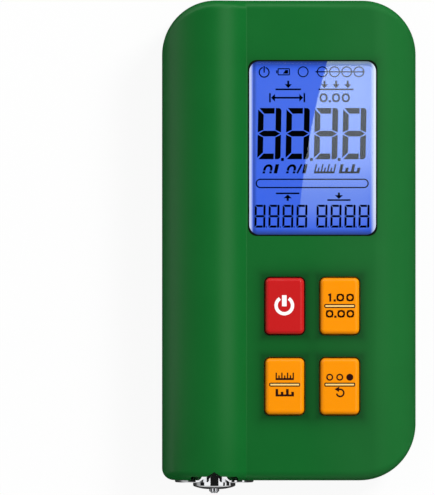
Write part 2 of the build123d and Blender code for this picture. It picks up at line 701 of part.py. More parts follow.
def lead_socket(name):
    """The board's socket round a plug, open towards the tube."""
    x, y = plug_place(name)
    start, end = x + PLUG_LENGTH / 3, x + PLUG_LENGTH + FIT + SOCKET_WALL
    wide = PLUG_WIDTH + 2 * (FIT + SOCKET_WALL)
    low = plug_height() - PLUG_HEIGHT / 2 - FIT - SOCKET_WALL
    body = block((start + end) / 2, y, end - start, wide, low, BOARD_FOOT)
    room = PLUG_WIDTH + 2 * FIT
    low, high = plug_height() - PLUG_HEIGHT / 2 - FIT, plug_height() + PLUG_HEIGHT / 2 + FIT
    return body - block(x + PLUG_LENGTH / 2, y, PLUG_LENGTH + 2 * FIT, room, low, high)


def probe_lead():
    """The screened lead from the probe's sleeve to the board."""
    x, y = plug_place("probe")
    start = FOOT_Y + SLEEVE_END - CAP_THICK
    middle = plug_height()
    turn = y - PLUG_WIDTH / 4
    points = [
        (TUBE_X, start, SEAM_Z),
        (TUBE_X, turn, SEAM_Z),
        (TUBE_X + SHANK_RADIUS / 2, y, middle),
        (x, y, middle),
    ]
    return wire(points, PROBE_LEAD_RADIUS)


def battery_lead():
    """The cell's two wires, side by side."""
    x, y = plug_place("battery")
    start = CELL_TOP + GUARD_THICK
    middle = plug_height()
    wires = []
    for side in (-1, 1):
        shift = 1.1 * WIRE_RADIUS * side
        wires.append(
            wire(
                [
                    (CELL_X - shift, start, SEAM_Z),
                    (CELL_X - shift, y + shift, SEAM_Z),
                    (CELL_X + CELL_RADIUS / 2, y + shift, middle),
                    (x, y + shift, middle),
                ],
                WIRE_RADIUS,
            )
        )
    return Compound(children=wires)


def battery_cell():
    """The round lithium cell in its sleeve, with the raised cap at its top end."""
    can = tube_slab(CELL_X, CELL_FOOT, CELL_TOP, CELL_RADIUS)
    return fillet(can.edges(), 4 * FIT)


def battery_guard():
    """The round protection board on the end of the cell."""
    return tube_slab(CELL_X, CELL_TOP, CELL_TOP + GUARD_THICK, CELL_RADIUS - 4 * FIT)


def usb_shell():
    """The charging port's folded steel shell, closed behind, with an ear on the board each side."""
    mouth = Plane.XZ.offset(-TOP_Y + USB_SUNK) * Pos(USB_X, USB_Z)
    shell = extrude(mouth * SlotOverall(USB_WIDTH, USB_HEIGHT), USB_DEPTH)
    ear_y = TOP_Y - USB_SUNK - USB_DEPTH + EAR_SIZE / 2
    ears_wide = USB_WIDTH + 2 * EAR_SIZE
    shell += block(USB_X, ear_y, ears_wide, EAR_SIZE, BOARD_TOP, BOARD_TOP + USB_WALL)
    inner = SlotOverall(USB_WIDTH - 2 * USB_WALL, USB_HEIGHT - 2 * USB_WALL)
    return shell - extrude(mouth * inner, USB_DEPTH - USB_WALL)


def usb_tongue():
    """The insulator in the port: a block at the back and the tongue that the plug slides over."""
    back = TOP_Y - USB_SUNK - USB_DEPTH + USB_WALL
    width, height = USB_WIDTH - 2 * USB_WALL - FIT, USB_HEIGHT - 2 * USB_WALL - FIT
    rear = Plane.XZ.offset(-back) * Pos(USB_X, USB_Z)
    core = extrude(rear * SlotOverall(width, height), -USB_DEPTH / 4)
    reach = USB_DEPTH - USB_WALL - 2 * TONGUE_THICK
    low, high = USB_Z - TONGUE_THICK / 2, USB_Z + TONGUE_THICK / 2
    return core + block(USB_X, back + reach / 2, TONGUE_WIDTH, reach, low, high)


def board_chip():
    """The microcontroller on the rear of the board, behind the right-hand keys."""
    x = KEYS_X + KEY_PITCH_X / 2
    return block(x, KEYS_Y, CHIP_SIDE, CHIP_SIDE, BOARD_FOOT - CHIP_THICK, BOARD_FOOT)


def charging_chip():
    """The charging controller near the port."""
    y = TOP_Y - USB_SUNK - USB_DEPTH - CHARGER_WIDTH
    return block(USB_X, y, CHARGER_LENGTH, CHARGER_WIDTH, BOARD_FOOT - CHIP_THICK, BOARD_FOOT)


def buzzer():
    """The round sounder on the rear of the board, with its sound hole."""
    x, y = WINDOW_X + CHIP_SIDE, WINDOW_Y
    can = post(x, y, BUZZER_RADIUS, BOARD_FOOT - BUZZER_HEIGHT, BOARD_FOOT)
    return can - post(x, y, BUZZER_RADIUS / 4, 0, BOARD_FOOT - BUZZER_HEIGHT / 2)


def screw(place, seat, length, radius, head_radius, head_thick):
    """A cross-head screw driven in from behind, its head under the seat."""
    x, y = place
    head = post(x, y, head_radius, seat - head_thick, seat)
    head = fillet(head.edges().group_by(Axis.Z)[0], head_thick / 3)
    shank = post(x, y, radius, seat, seat + length)
    shank = chamfer(shank.edges().group_by(Axis.Z)[-1], radius / 3)
    drive = Part()
    for size in ((head_radius * 1.2, DRIVE_SIZE), (DRIVE_SIZE, head_radius * 1.2)):
        drive += block(x, y, *size, 0, seat - head_thick / 2)
    return head + shank - drive


def case_screw(place):
    """A case screw, through the rear shell into the face's boss."""
    return screw(
        place, POCKET_DEPTH, CASE_SCREW_LENGTH, CASE_SCREW_RADIUS, CASE_HEAD_RADIUS, CASE_HEAD_THICK
    )


def board_screw(place):
    """A board screw, through the board into the face's boss."""
    return screw(
        place, BOARD_FOOT, BOARD_SCREW_LENGTH, BOARD_SCREW_RADIUS, BOARD_HEAD_RADIUS, BOARD_HEAD_THICK
    )


def pieces():
    """Every piece of the gauge by name."""
    found = {
        "front_shell": front_shell(),
        "rear_shell": rear_shell(),
        "display_window": display_window(),
        "window_tape": window_tape(),
        "display_glass": display_glass(),
        "display_backlight": display_backlight(),
        "display_frame": display_frame(),
        "contact_strip_top": contact_strip(1),
        "contact_strip_foot": contact_strip(-1),
        "main_board": main_board(),
        "probe_collar": probe_collar(),
        "probe_sleeve": probe_sleeve(),
        "probe_head": probe_head(),
        "probe_tip": probe_tip(),
        "coil_bobbin": coil_bobbin(),
        "sensing_coil": sensing_coil(),
        "probe_spring": probe_spring(),
        "sleeve_cap": sleeve_cap(),
        "probe_lead": probe_lead(),
        "battery_lead": battery_lead(),
        "battery_cell": battery_cell(),
        "battery_guard": battery_guard(),
        "usb_shell": usb_shell(),
        "usb_tongue": usb_tongue(),
        "microcontroller": board_chip(),
        "charging_chip": charging_chip(),
        "buzzer": buzzer(),
    }
    for name in KEY_PLACES:
        found[f"{name}_key"] = key(name)
        found[f"{name}_switch"] = key_switch(name)
        found[f"{name}_plunger"] = key_plunger(name)
    for name in ("probe", "battery"):
        found[f"{name}_plug"] = lead_plug(name)
        found[f"{name}_socket"] = lead_socket(name)
    for name, place in CASE_SCREWS.items():
        found[name] = case_screw(place)
    for name, place in BOARD_SCREWS.items():
        found[name] = board_screw(place)
    return found


os.makedirs("parts", exist_ok=True)
for name, piece in pieces().items():
    export_step(piece, f"parts/{name}.step")
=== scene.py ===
import json
import math

import bmesh
import bpy
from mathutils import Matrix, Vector


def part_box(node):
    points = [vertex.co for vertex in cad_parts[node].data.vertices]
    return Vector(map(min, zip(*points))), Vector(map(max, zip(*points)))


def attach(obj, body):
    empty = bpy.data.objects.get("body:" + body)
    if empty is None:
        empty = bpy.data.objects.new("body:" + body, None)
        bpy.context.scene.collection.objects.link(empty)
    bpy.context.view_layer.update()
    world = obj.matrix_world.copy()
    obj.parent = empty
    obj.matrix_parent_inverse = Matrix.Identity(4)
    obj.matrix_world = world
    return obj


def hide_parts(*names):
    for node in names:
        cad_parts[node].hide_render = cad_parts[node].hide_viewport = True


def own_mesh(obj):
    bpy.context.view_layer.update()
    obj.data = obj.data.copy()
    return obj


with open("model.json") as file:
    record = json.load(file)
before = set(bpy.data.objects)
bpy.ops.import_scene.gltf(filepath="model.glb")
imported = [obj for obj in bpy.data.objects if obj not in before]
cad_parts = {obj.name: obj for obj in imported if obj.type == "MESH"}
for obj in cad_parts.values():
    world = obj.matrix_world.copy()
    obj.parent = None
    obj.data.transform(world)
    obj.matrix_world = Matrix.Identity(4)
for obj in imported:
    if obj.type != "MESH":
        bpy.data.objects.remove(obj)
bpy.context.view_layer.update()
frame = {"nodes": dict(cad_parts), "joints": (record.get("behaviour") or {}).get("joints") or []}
MM = 0.001


# The photographer's camera: a long lens straight above the gauge, which lies on its back, so that
# nothing of its sides shows. The gauge sits right of the middle of the picture.
FACE_HEIGHT = 21.7 * MM
PICTURE_HEIGHT = 113.4 * MM
PICTURE_MIDDLE = (-16.4 * MM, -1.6 * MM)
CAMERA_DISTANCE = 2.5
CAMERA_REACH = 20.0
SENSOR_HEIGHT = 24.0


def add_object(name, data):
    """A new object with this data, put into the scene."""
    made = bpy.data.objects.new(name, data)
    bpy.context.collection.objects.link(made)
    return made


lens = bpy.data.cameras.new("camera")
lens.sensor_fit = "VERTICAL"
lens.sensor_height = SENSOR_HEIGHT
lens.lens = SENSOR_HEIGHT * CAMERA_DISTANCE / PICTURE_HEIGHT
lens.clip_end = CAMERA_REACH
camera = add_object("camera", lens)
camera.location = (*PICTURE_MIDDLE, FACE_HEIGHT + CAMERA_DISTANCE)
bpy.context.scene.camera = camera
bpy.context.scene.view_settings.view_transform = "Standard"


# The studio: a soft room with one large lamp beyond the top right, and dark cloths overhead, so that
# the plastics keep their colour. A long softbox right of straight up draws the line of light along
# the tube. The camera sees only white behind the gauge.
class Signal:
    """A socket in a node tree. Sums, products and powers of it add Math nodes to that tree."""

    def __init__(self, tree, socket):
        self.tree = tree
        self.socket = socket

    @classmethod
    def add(cls, tree, kind, settings=None, inputs=None, output=0):
        """Adds a node, sets it up, feeds its sockets with values or Signals, and returns one output."""
        node = tree.nodes.new(kind)
        for name, value in (settings or {}).items():
            setattr(node, name, value)
        for name, value in (inputs or {}).items():
            if isinstance(value, Signal):
                tree.links.new(value.socket, node.inputs[name])
            else:
                node.inputs[name].default_value = value
        return cls(tree, node.outputs[output])

    def math(self, operation, *others):
        """This value and others through one Math node."""
        values = dict(enumerate((self, *others)))
        return Signal.add(self.tree, "ShaderNodeMath", {"operation": operation}, values)

    def __add__(self, other):
        return self.math("ADD", other)

    def __sub__(self, other):
        return self.math("SUBTRACT", other)

    def __rsub__(self, other):
        return (self * -1).math("ADD", other)

    def __mul__(self, other):
        return self.math("MULTIPLY", other)

    def __abs__(self):
        return self.math("ABSOLUTE")

    __radd__ = __add__
    __rmul__ = __mul__

    def smooth(self, low, high, out_low=0.0, out_high=1.0):
        """This value taken smoothly from low..high to out_low..out_high."""
        settings = {"interpolation_type": "SMOOTHSTEP"}
        inputs = dict(enumerate((self, low, high, out_low, out_high)))
        return Signal.add(self.tree, "ShaderNodeMapRange", settings, inputs)


def srgb(red, green, blue):
    """A linear colour from the numbers that a picture shows it with."""
    parts = [part / 255 for part in (red, green, blue)]
    return (*(p / 12.92 if p <= 0.04045 else ((p + 0.055) / 1.055) ** 2.4 for p in parts), 1.0)


def parts_of(vector, axes):
    """The parts of a vector Signal along these axes."""
    kind = "ShaderNodeSeparateXYZ"
    return [Signal.add(vector.tree, kind, inputs={0: vector}, output=axis) for axis in axes]


def ray_kinds(tree):
    """Whether the camera sent the light path, and whether a glossy surface mirrors it."""
    return [
        Signal.add(tree, "ShaderNodeLightPath", output=f"Is {kind} Ray") for kind in ("Camera", "Glossy")
    ]


def blend_shaders(tree, factor, first, second):
    """A mix of two shaders: the first where factor is 0, the second where it is 1."""
    return Signal.add(tree, "ShaderNodeMixShader", inputs={0: factor, 1: first, 2: second})


WHITE = (1.0, 1.0, 1.0, 1.0)
ROOM_LEVEL = 0.54
CLOTH_LEVEL = 0.01
SOFTBOX_LEVEL = 0.72
SOFTBOX_ANGLE = math.radians(28)
SOFTBOX_FADE = (math.radians(4), math.radians(25))
LEFT_LEVEL = 0.42
LEFT_FADE = (math.radians(-115), math.radians(-25))
BEYOND_LEVEL = 0.95
BEYOND_ANGLE = math.radians(58)
BEYOND_FADE = (math.radians(8), math.radians(22))
LAMP_PLACE = Vector((0.62, 0.62, 0.88))
LAMP_SIZE = 0.35
LAMP_POWER = 12.0
world = bpy.data.worlds.new("studio")
bpy.context.scene.world = world
world.use_nodes = True
tree = world.node_tree
tree.nodes.clear()
direction = Signal.add(tree, "ShaderNodeTexCoord", output="Generated")
right, beyond, upward = parts_of(direction, "XYZ")
sideways = right.math("ARCTAN2", upward)
forwards = beyond.math("ARCTAN2", upward)
softbox = abs(sideways - SOFTBOX_ANGLE).smooth(*SOFTBOX_FADE, SOFTBOX_LEVEL, 0.0)
left_wall = sideways.smooth(*LEFT_FADE, LEFT_LEVEL, 0.0)
beyond_strip = abs(forwards - BEYOND_ANGLE).smooth(*BEYOND_FADE, BEYOND_LEVEL, 0.0)
mirrored = (softbox + left_wall + beyond_strip + CLOTH_LEVEL).math("MINIMUM", 1.0)
is_camera, is_mirror = ray_kinds(tree)
level = is_mirror * (mirrored - ROOM_LEVEL) + is_camera * (1 - ROOM_LEVEL) + ROOM_LEVEL
dark, white = (
    Signal.add(tree, "ShaderNodeBackground", inputs={"Color": WHITE, "Strength": strength})
    for strength in (0.0, 1.0)
)
sky = blend_shaders(tree, level, dark, white)
tree.links.new(sky.socket, tree.nodes.new("ShaderNodeOutputWorld").inputs["Surface"])

key_light = bpy.data.lights.new("key_lamp", "AREA")
key_light.size = LAMP_SIZE
key_light.energy = LAMP_POWER
key_lamp = add_object("key_lamp", key_light)
key_lamp.location = LAMP_PLACE
key_lamp.rotation_euler = (-LAMP_PLACE).to_track_quat("-Z", "Y").to_euler()
key_lamp.visible_glossy = False


# The floor under it: a pale sheet of paper with no edge in view. The camera sees it nearly white,
# and it keeps the gauge's own soft shadow. Glossy pieces mirror it dim, and paler on the left.
FLOOR_SIZE = 4.0
FLOOR_DROP = 0.02 * MM
PAPER = (0.9, 0.9, 0.9, 1.0)
PAPER_WHITENED = 0.92  # how far the camera sees the paper as plain white
MIRRORED_PAPER = (0.03, 0.42)
MIRRORED_FADE = (-90 * MM, -38 * MM)


def new_material(name):
    """An empty material, and its node tree."""
    material = bpy.data.materials.new(name)
    material.use_nodes = True
    material.node_tree.nodes.clear()
    return material, material.node_tree


def finish_material(material, shader):
    """Joins the last shader to the material's output."""
    output = material.node_tree.nodes.new("ShaderNodeOutputMaterial")
    material.node_tree.links.new(shader.socket, output.inputs["Surface"])
    return material


def object_place(tree):
    """Where a point of the surface lies, in the object's own frame."""
    return Signal.add(tree, "ShaderNodeTexCoord", output="Object")


def emission(tree, strength, colour=WHITE):
    """Light that a surface gives off by itself."""
    return Signal.add(tree, "ShaderNodeEmission", inputs={"Color": colour, "Strength": strength})


paper, tree = new_material("paper")
lit = Signal.add(tree, "ShaderNodeBsdfDiffuse", inputs={"Color": PAPER})
(x,) = parts_of(object_place(tree), "X")
dim, pale = (emission(tree, strength) for strength in MIRRORED_PAPER)
grey = blend_shaders(tree, x.smooth(*MIRRORED_FADE, 1.0, 0.0), dim, pale)
is_camera, is_mirror = ray_kinds(tree)
seen = blend_shaders(tree, is_camera * PAPER_WHITENED, lit, emission(tree, 1.0))
finish_material(paper, blend_shaders(tree, is_mirror, seen, grey))
half = FLOOR_SIZE / 2
sheet = bpy.data.meshes.new("floor")
sheet.from_pydata(
    [(-half, -half, 0), (half, -half, 0), (half, half, 0), (-half, half, 0)], [], [(0, 1, 2, 3)]
)
sheet.materials.append(paper)
floor = add_object("floor", sheet)
floor.location.z = -FLOOR_DROP


# The case: two shells moulded in green plastic with a fine spark-eroded grain, held together by
# four screws from behind. The seam runs round the middle of the sides.
BLACK = (0.0, 0.0, 0.0, 1.0)
CLOUD_SIZE = 9 * MM
CLOUD_DETAIL = 3.0
GRAIN_SIZE = 0.16 * MM
GRAIN_STRENGTH = 0.35
GLOSS_SPREAD = 0.05
SATIN_RUN = 18 * MM
SATIN_RISE = 0.2
RAISED_SHADE = (1.25 * MM, 0.44)  # how far the painted shade round a piece reaches, and how dark it is
SUNK_SHADE = (1.0 * MM, 0.30)
SUNK_RUN = 30 * MM


def noise(place, size, detail=2.0):
    """An uneven pattern with spots of about this size."""
    inputs = {"Vector": place, "Scale": 1 / size, "Detail": detail}
    return Signal.add(place.tree, "ShaderNodeTexNoise", inputs=inputs)


def mixed(tree, first, second, factor):
    """A colour between two others: the first where factor is 0, the second where it is 1."""
    inputs = {"Factor": factor, 6: first, 7: second}
    return Signal.add(tree, "ShaderNodeMix", {"data_type": "RGBA"}, inputs, output=2)


def finish_principled(material, inputs):
    """Ends a material in a Principled shader with these inputs."""
    shader = Signal.add(material.node_tree, "ShaderNodeBsdfPrincipled", inputs=inputs)
    return finish_material(material, shader)


def plastic(name, colour, roughness, depth=0.004 * MM, mottle=0.06, satin_from=None, raised=(), sunk=()):
    """Moulded plastic: its colour a little uneven, its gloss broken by a fine grain.

    It is duller to the right of satin_from, where the mould was less polished. Its colour is darkened
    with painted shade where little light comes: round the raised pieces, and above and to the right of
    the sunk ones, given by their nodes."""
    material, tree = new_material(name)
    place = object_place(tree)
    x, y = parts_of(place, "XY")
    cloud = noise(place, CLOUD_SIZE, CLOUD_DETAIL)
    pores = noise(place, GRAIN_SIZE)
    darker = tuple(part * (1 - mottle) for part in colour[:3]) + (1,)
    lighter = tuple(min(part * (1 + mottle), 1.0) for part in colour[:3]) + (1,)
    tint = mixed(tree, darker, lighter, cloud)
    # Painted shade: the colour darkens towards black near each raised or sunk piece.
    for node in (*raised, *sunk):
        low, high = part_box(node)
        middle, half = (low + high) / 2, (high - low) / 2
        aside = (abs(x - middle.x) - half.x).math("MAXIMUM", 0.0)
        along = (abs(y - middle.y) - half.y).math("MAXIMUM", 0.0)
        apart = (aside * aside + along * along).math("SQRT")
        reach, most = RAISED_SHADE if node in raised else SUNK_SHADE
        shade = (apart * (-1 / reach)).math("EXPONENT") * most
        if node in sunk:
            shade = shade * (x - middle.x + y - middle.y).smooth(-SUNK_RUN, SUNK_RUN)
        tint = mixed(tree, tint, BLACK, shade)
    inputs = {"Strength": GRAIN_STRENGTH, "Distance": depth, "Height": pores}
    relief = Signal.add(tree, "ShaderNodeBump", inputs=inputs)
    gloss = cloud * GLOSS_SPREAD + (roughness - GLOSS_SPREAD) + pores * GLOSS_SPREAD
    if satin_from is not None:
        gloss = gloss + x.smooth(satin_from, satin_from + SATIN_RUN, 0.0, SATIN_RISE)
    return finish_principled(material, {"Base Color": tint, "Roughness": gloss, "Normal": relief})


SHARP_EDGE = math.radians(30)


def smooth_copy(node, name, body, material):
    """A CAD node's mesh, joined up and shaded smooth up to an angle, in place of that node."""
    mesh = frame["nodes"][node].data.copy()
    mesh.name = name
    work = bmesh.new()
    work.from_mesh(mesh)
    bmesh.ops.remove_doubles(work, verts=work.verts, dist=0.001 * MM)
    for edge in work.edges:
        edge.smooth = len(edge.link_faces) == 2 and edge.calc_face_angle(0) < SHARP_EDGE
    for face in work.faces:
        face.smooth = True
    work.to_mesh(mesh)
    work.free()
    mesh.materials.clear()
    mesh.materials.append(material)
    piece = add_object(name, mesh)
    weigh = piece.modifiers.new("even_shading", "WEIGHTED_NORMAL")
    weigh.keep_sharp = True
    weigh.weight = 100
    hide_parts(node)
    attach(piece, body)
    return piece


CASE_GREEN = srgb(7, 103, 37)
KEYS = ("power", "calibrate", "unit", "mode")
front_green = plastic("front_green_plastic", CASE_GREEN, 0.32, satin_from=2 * MM,
                      raised=[f"{key}_key" for key in KEYS], sunk=["display_window"])
back_green = plastic("back_green_plastic", CASE_GREEN, 0.32)
smooth_copy("front_shell", "case_front", "case", front_green)
smooth_copy("rear_shell", "case_back", "case", back_green)


# The screws that hold it: cross-head, blackened steel, sunk in pockets in the back, and four
# smaller ones that hold the board inside.
SCRATCH_SIZE = 0.5 * MM
SCRATCH_DETAIL = 3.0


def metal(name, colour, roughness, streak=(1, 1, 1), scratch=0.08):
    """Bare metal with fine marks, drawn out along one axis where it was turned or brushed."""
    material, tree = new_material(name)
    mapping = {"Vector": object_place(tree), "Scale": streak}
    drawn = Signal.add(tree, "ShaderNodeMapping", inputs=mapping)
    gloss = noise(drawn, SCRATCH_SIZE, SCRATCH_DETAIL) * scratch + roughness
    return finish_principled(material, {"Base Color": colour, "Metallic": 1.0, "Roughness": gloss})


def repaint(names, material):
    """Gives CAD nodes that stay as they are their material."""
    for name in names:
        mesh = frame["nodes"][name].data
        mesh.materials.clear()
        mesh.materials.append(material)


nodes = frame["nodes"]
screw_black = metal("screw_black_oxide", srgb(70, 70, 72), 0.35)
repaint([name for name in nodes if "_screw_" in name], screw_black)


# The display under the window: a blue backlit glass. Its glow also carries painted light: a painted
# reflection of the pane's rounded edges, a nearly white band along each long edge with a darker line
# just inside the left one, and painted shade at both ends. A little of the light that falls on it
# comes back from the film behind it, with painted shade that makes this less towards the foot.
WINDOW_LOW, WINDOW_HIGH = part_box("display_window")
SCREEN_BLUE = srgb(50, 97, 234)
SCREEN_HIGHLIGHT = srgb(206, 217, 249)
SCREEN_SHADE = srgb(14, 36, 104)
SCREEN_FILM = (0.040, 0.048, 0.020, 1)
FOOT_SHADE_FADE = (5 * MM, 33 * MM)
FOOT_SHADE_LEVEL = 0.45
END_SHADE_FADE = (-0.5 * MM, 1.9 * MM)
DARK_LINE_STARTS = (0.8 * MM, 1.0 * MM)
DARK_LINE_ENDS = (1.1 * MM, 1.9 * MM)
DARK_LINE_LEVEL = 0.5
LEFT_HIGHLIGHT = (0.15 * MM, 1.0 * MM)
RIGHT_HIGHLIGHT = (0.2 * MM, 1.35 * MM)
window_middle = (WINDOW_LOW + WINDOW_HIGH) / 2
window_half = (WINDOW_HIGH - WINDOW_LOW) / 2

screen_blue, tree = new_material("screen_backlight_and_painted_light")
x, y = parts_of(object_place(tree), "XY")
from_left, from_right = x - WINDOW_LOW.x, WINDOW_HIGH.x - x
from_end = window_half.y - abs(y - window_middle.y)
# Painted shade at both ends, and a painted reflection along the long edges: white bands, with a dark
# line inside the left one.
dim = from_end.smooth(*END_SHADE_FADE, 1.0, 0.0)
dark_line = from_left.smooth(*DARK_LINE_STARTS) * from_left.smooth(*DARK_LINE_ENDS, DARK_LINE_LEVEL, 0.0)
highlight = from_left.smooth(*LEFT_HIGHLIGHT, 1.0, 0.0) + from_right.smooth(*RIGHT_HIGHLIGHT, 1.0, 0.0)
colour = mixed(tree, SCREEN_BLUE, SCREEN_SHADE, dim)
colour = mixed(tree, colour, SCREEN_SHADE, dark_line)
colour = mixed(tree, colour, SCREEN_HIGHLIGHT, highlight)
# Painted shade: the film's colour darkens towards the foot of the screen.
foot_shaded_film = mixed(tree, SCREEN_FILM, BLACK, y.smooth(*FOOT_SHADE_FADE, FOOT_SHADE_LEVEL, 0.0))
finish_principled(screen_blue, {
    "Base Color": foot_shaded_film,
    "Roughness": 0.6,
    "Specular IOR Level": 0.0,
    "Emission Color": colour,
    "Emission Strength": 1.0,
})
repaint(["display_glass"], screen_blue)


# The segments and signs on the glass: a black film that stands just proud of it. The figures are
# made of seven separate segments, and each row of figures is one figure repeated.
GLASS_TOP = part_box("display_glass")[1].z
FILM = 0.03 * MM
SUNK = 0.01 * MM  # how far prints reach into what carries them


def line(points, width, closed=False):
    """A stroke of one width along points, as a list of four-sided outlines."""
    ends = list(zip(points, points[1:] + points[:1])) if closed else list(zip(points, points[1:]))
    count = len(points)
    offsets = []
    for i, point in enumerate(points):
        before = points[i - 1] if i or closed else None
        after = points[(i + 1) % count] if i < count - 1 or closed else None
        runs = []
        if before is not None:
            runs.append(Vector(point) - Vector(before))
        if after is not None:
            runs.append(Vector(after) - Vector(point))
        normals = [Vector((-run.y, run.x)).normalized() for run in runs]
        normal = sum(normals, Vector((0, 0))).normalized()
        offsets.append(normal * (width / 2 / max(normal.dot(normals[0]), 0.3)))
    shapes = []
    for i in range(len(ends)):
        j = (i + 1) % count
        a, b = Vector(points[i]), Vector(points[j])
        shapes.append([a + offsets[i], a - offsets[i], b - offsets[j], b + offsets[j]])
    return shapes


def arc(x, y, radius, start=0.0, end=360.0, steps=40):
    """Points round a circle from one angle to another, in degrees from +X."""
    closed = abs(end - start) >= 360
    count = steps if closed else steps + 1
    turns = [math.radians(start + (end - start) * i / steps) for i in range(count)]
    return [(x + radius * math.cos(t), y + radius * math.sin(t)) for t in turns]


def box_outline(left, low, right, high, corner=0.0, steps=6):
    """A rectangle with rounded corners."""
    if not corner:
        return [(left, low), (right, low), (right, high), (left, high)]
    centres = ((right, high), (left, high), (left, low), (right, low))
    points = []
    for quarter, (x, y) in enumerate(centres):
        x += -corner if x == right else corner
        y += -corner if y == high else corner
        points += arc(x, y, corner, 90 * quarter, 90 * quarter + 90, steps)
    return points


def shift(shapes, x=0.0, y=0.0, lean=0.0):
    """The outlines moved, and leaning over to the right by lean for each unit of height."""
    return [[(p[0] + x + lean * p[1], p[1] + y) for p in shape] for shape in shapes]


def new_mesh(name, work):
    """A mesh of what was built in work, which is used up."""
    mesh = bpy.data.meshes.new(name)
    work.to_mesh(mesh)
    work.free()
    return mesh


def printed(name, shapes, low, high, material, body):
    """A thin flat piece with these outlines, in millimetres, from low to high."""
    work = bmesh.new()
    for shape in shapes:
        corners = [work.verts.new((p[0] * MM, p[1] * MM, high)) for p in shape]
        work.faces.new(corners)
    bmesh.ops.remove_doubles(work, verts=work.verts, dist=0.002 * MM)
    bmesh.ops.recalc_face_normals(work, faces=work.faces)
    for face in work.faces:
        if face.normal.z < 0:
            face.normal_flip()
    grown = bmesh.ops.extrude_face_region(work, geom=work.faces[:])
    for corner in grown["geom"]:
        if isinstance(corner, bmesh.types.BMVert):
            corner.co.z = low
    bmesh.ops.recalc_face_normals(work, faces=work.faces)
    mesh = new_mesh(name, work)
    mesh.materials.append(material)
    piece = add_object(name, mesh)
    if body:
        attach(piece, body)
    return piece


def figure(width, height, bar, gap):
    """The segments of one seven-segment figure, its lower left corner at zero."""
    middle, corner = height / 2, 0.55 * bar
    top = {
        "a": [(gap, height), (width - bar - gap, height), (width - bar - gap, height - bar),
              (bar + 0.4 * gap, height - bar)],
        "f": [(0, height - 1.2 * gap), (0, middle + 0.9 * gap), (bar, middle + bar / 2 + 0.7 * gap),
              (bar, height - bar - 0.9 * gap)],
        "b": [(width - bar, height), *arc(width - corner, height - corner, corner, 90, 0, 5),
              (width, middle + 0.9 * gap), (width - bar, middle + bar / 2 + 0.7 * gap)],
    }
    shapes = {
        **top,
        "g": [(0.8 * gap, middle), (bar, middle + bar / 2), (width - bar, middle + bar / 2),
              (width - 0.8 * gap, middle), (width - bar, middle - bar / 2), (bar, middle - bar / 2)],
    }
    for upper, lower in (("a", "d"), ("f", "e"), ("b", "c")):
        shapes[lower] = [(x, height - y) for x, y in reversed(top[upper])]
    return [shapes[name] for name in "abcdefg"]


def row_tree():
    """Geometry nodes that repeat one piece in a row."""
    tree = bpy.data.node_groups.new("row", "GeometryNodeTree")
    for name, kind in (
        ("Piece", "NodeSocketObject"),
        ("Count", "NodeSocketInt"),
        ("Pitch", "NodeSocketVector"),
        ("Finish", "NodeSocketMaterial"),
    ):
        tree.interface.new_socket(name, in_out="INPUT", socket_type=kind)
    tree.interface.new_socket("Geometry", in_out="OUTPUT", socket_type="NodeSocketGeometry")
    given = tree.nodes.new("NodeGroupInput").outputs
    source = Signal.add(
        tree, "GeometryNodeObjectInfo", inputs={0: Signal(tree, given["Piece"])}, output="Geometry"
    )
    places = Signal.add(
        tree,
        "GeometryNodeMeshLine",
        {"mode": "OFFSET"},
        {"Count": Signal(tree, given["Count"]), "Offset": Signal(tree, given["Pitch"])},
    )
    copies = Signal.add(
        tree, "GeometryNodeInstanceOnPoints", inputs={"Points": places, "Instance": source}
    )
    real = Signal.add(tree, "GeometryNodeRealizeInstances", inputs={0: copies})
    finished = Signal.add(
        tree, "GeometryNodeSetMaterial", inputs={0: real, "Material": Signal(tree, given["Finish"])}
    )
    tree.links.new(finished.socket, tree.nodes.new("NodeGroupOutput").inputs[0])
    return tree


ROW = row_tree()


def repeated(name, piece, count, pitch, material, body):
    """A row of copies of a piece, as one plain mesh. The piece itself is used up."""
    carrier = add_object(name, bpy.data.meshes.new(name))
    row = carrier.modifiers.new("row", "NODES")
    row.node_group = ROW
    values = {"Piece": piece, "Count": count, "Pitch": (pitch * MM, 0, 0), "Finish": material}
    for item in ROW.interface.items_tree:
        if item.in_out == "INPUT":
            row[item.identifier] = values[item.name]
    bpy.context.view_layer.update()
    made = carrier.evaluated_get(bpy.context.evaluated_depsgraph_get())
    mesh = bpy.data.meshes.new_from_object(made)
    carrier.modifiers.clear()
    carrier.data = mesh
    bpy.data.objects.remove(piece)
    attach(carrier, body)
    return carrier


def speckled(name, colour, size, spread, roughness, specular):
    """A film, an ink, or the black that stands for the shade in the window's gap, a little uneven in
    gloss.
    """
    material, tree = new_material(name)
    gloss = noise(object_place(tree), size) * spread + roughness
    return finish_principled(
        material, {"Base Color": colour, "Roughness": gloss, "Specular IOR Level": specular}
    )


film = speckled("segment_film", srgb(1, 2, 6), 0.4 * MM, 0.1, 0.5, 0.0)


def on_glass(name, shapes):
    """Signs printed on the display's glass."""
    return printed(name, shapes, GLASS_TOP - SUNK, GLASS_TOP + FILM, film, "case")


def row_on_glass(name, shapes, count, pitch):
    """A row of equal signs on the display's glass."""
    one = printed(name + "_one", shapes, GLASS_TOP - SUNK, GLASS_TOP + FILM, film, None)
    return repeated(name, one, count, pitch, film, "case")


FIGURES = 4
BIG = (5.35, 11.75, 1.3, 0.28)
SMALL = (2.5, 5.25, 0.5, 0.12)
FIGURE_LEAN = 0.02
SMALL_LOW = 2.95
SMALL_LEFTS = (-7.95, 6.25)
for name, size, left, low, pitch in (
    ("reading_figures", BIG, -7.3, 18.65, 6.5),
    ("highest_figures", SMALL, SMALL_LEFTS[0], SMALL_LOW, 3.2),
    ("lowest_figures", SMALL, SMALL_LEFTS[1], SMALL_LOW, 3.22),
):
    row_on_glass(name, shift(shift(figure(*size), lean=FIGURE_LEAN), left, low), FIGURES, pitch)

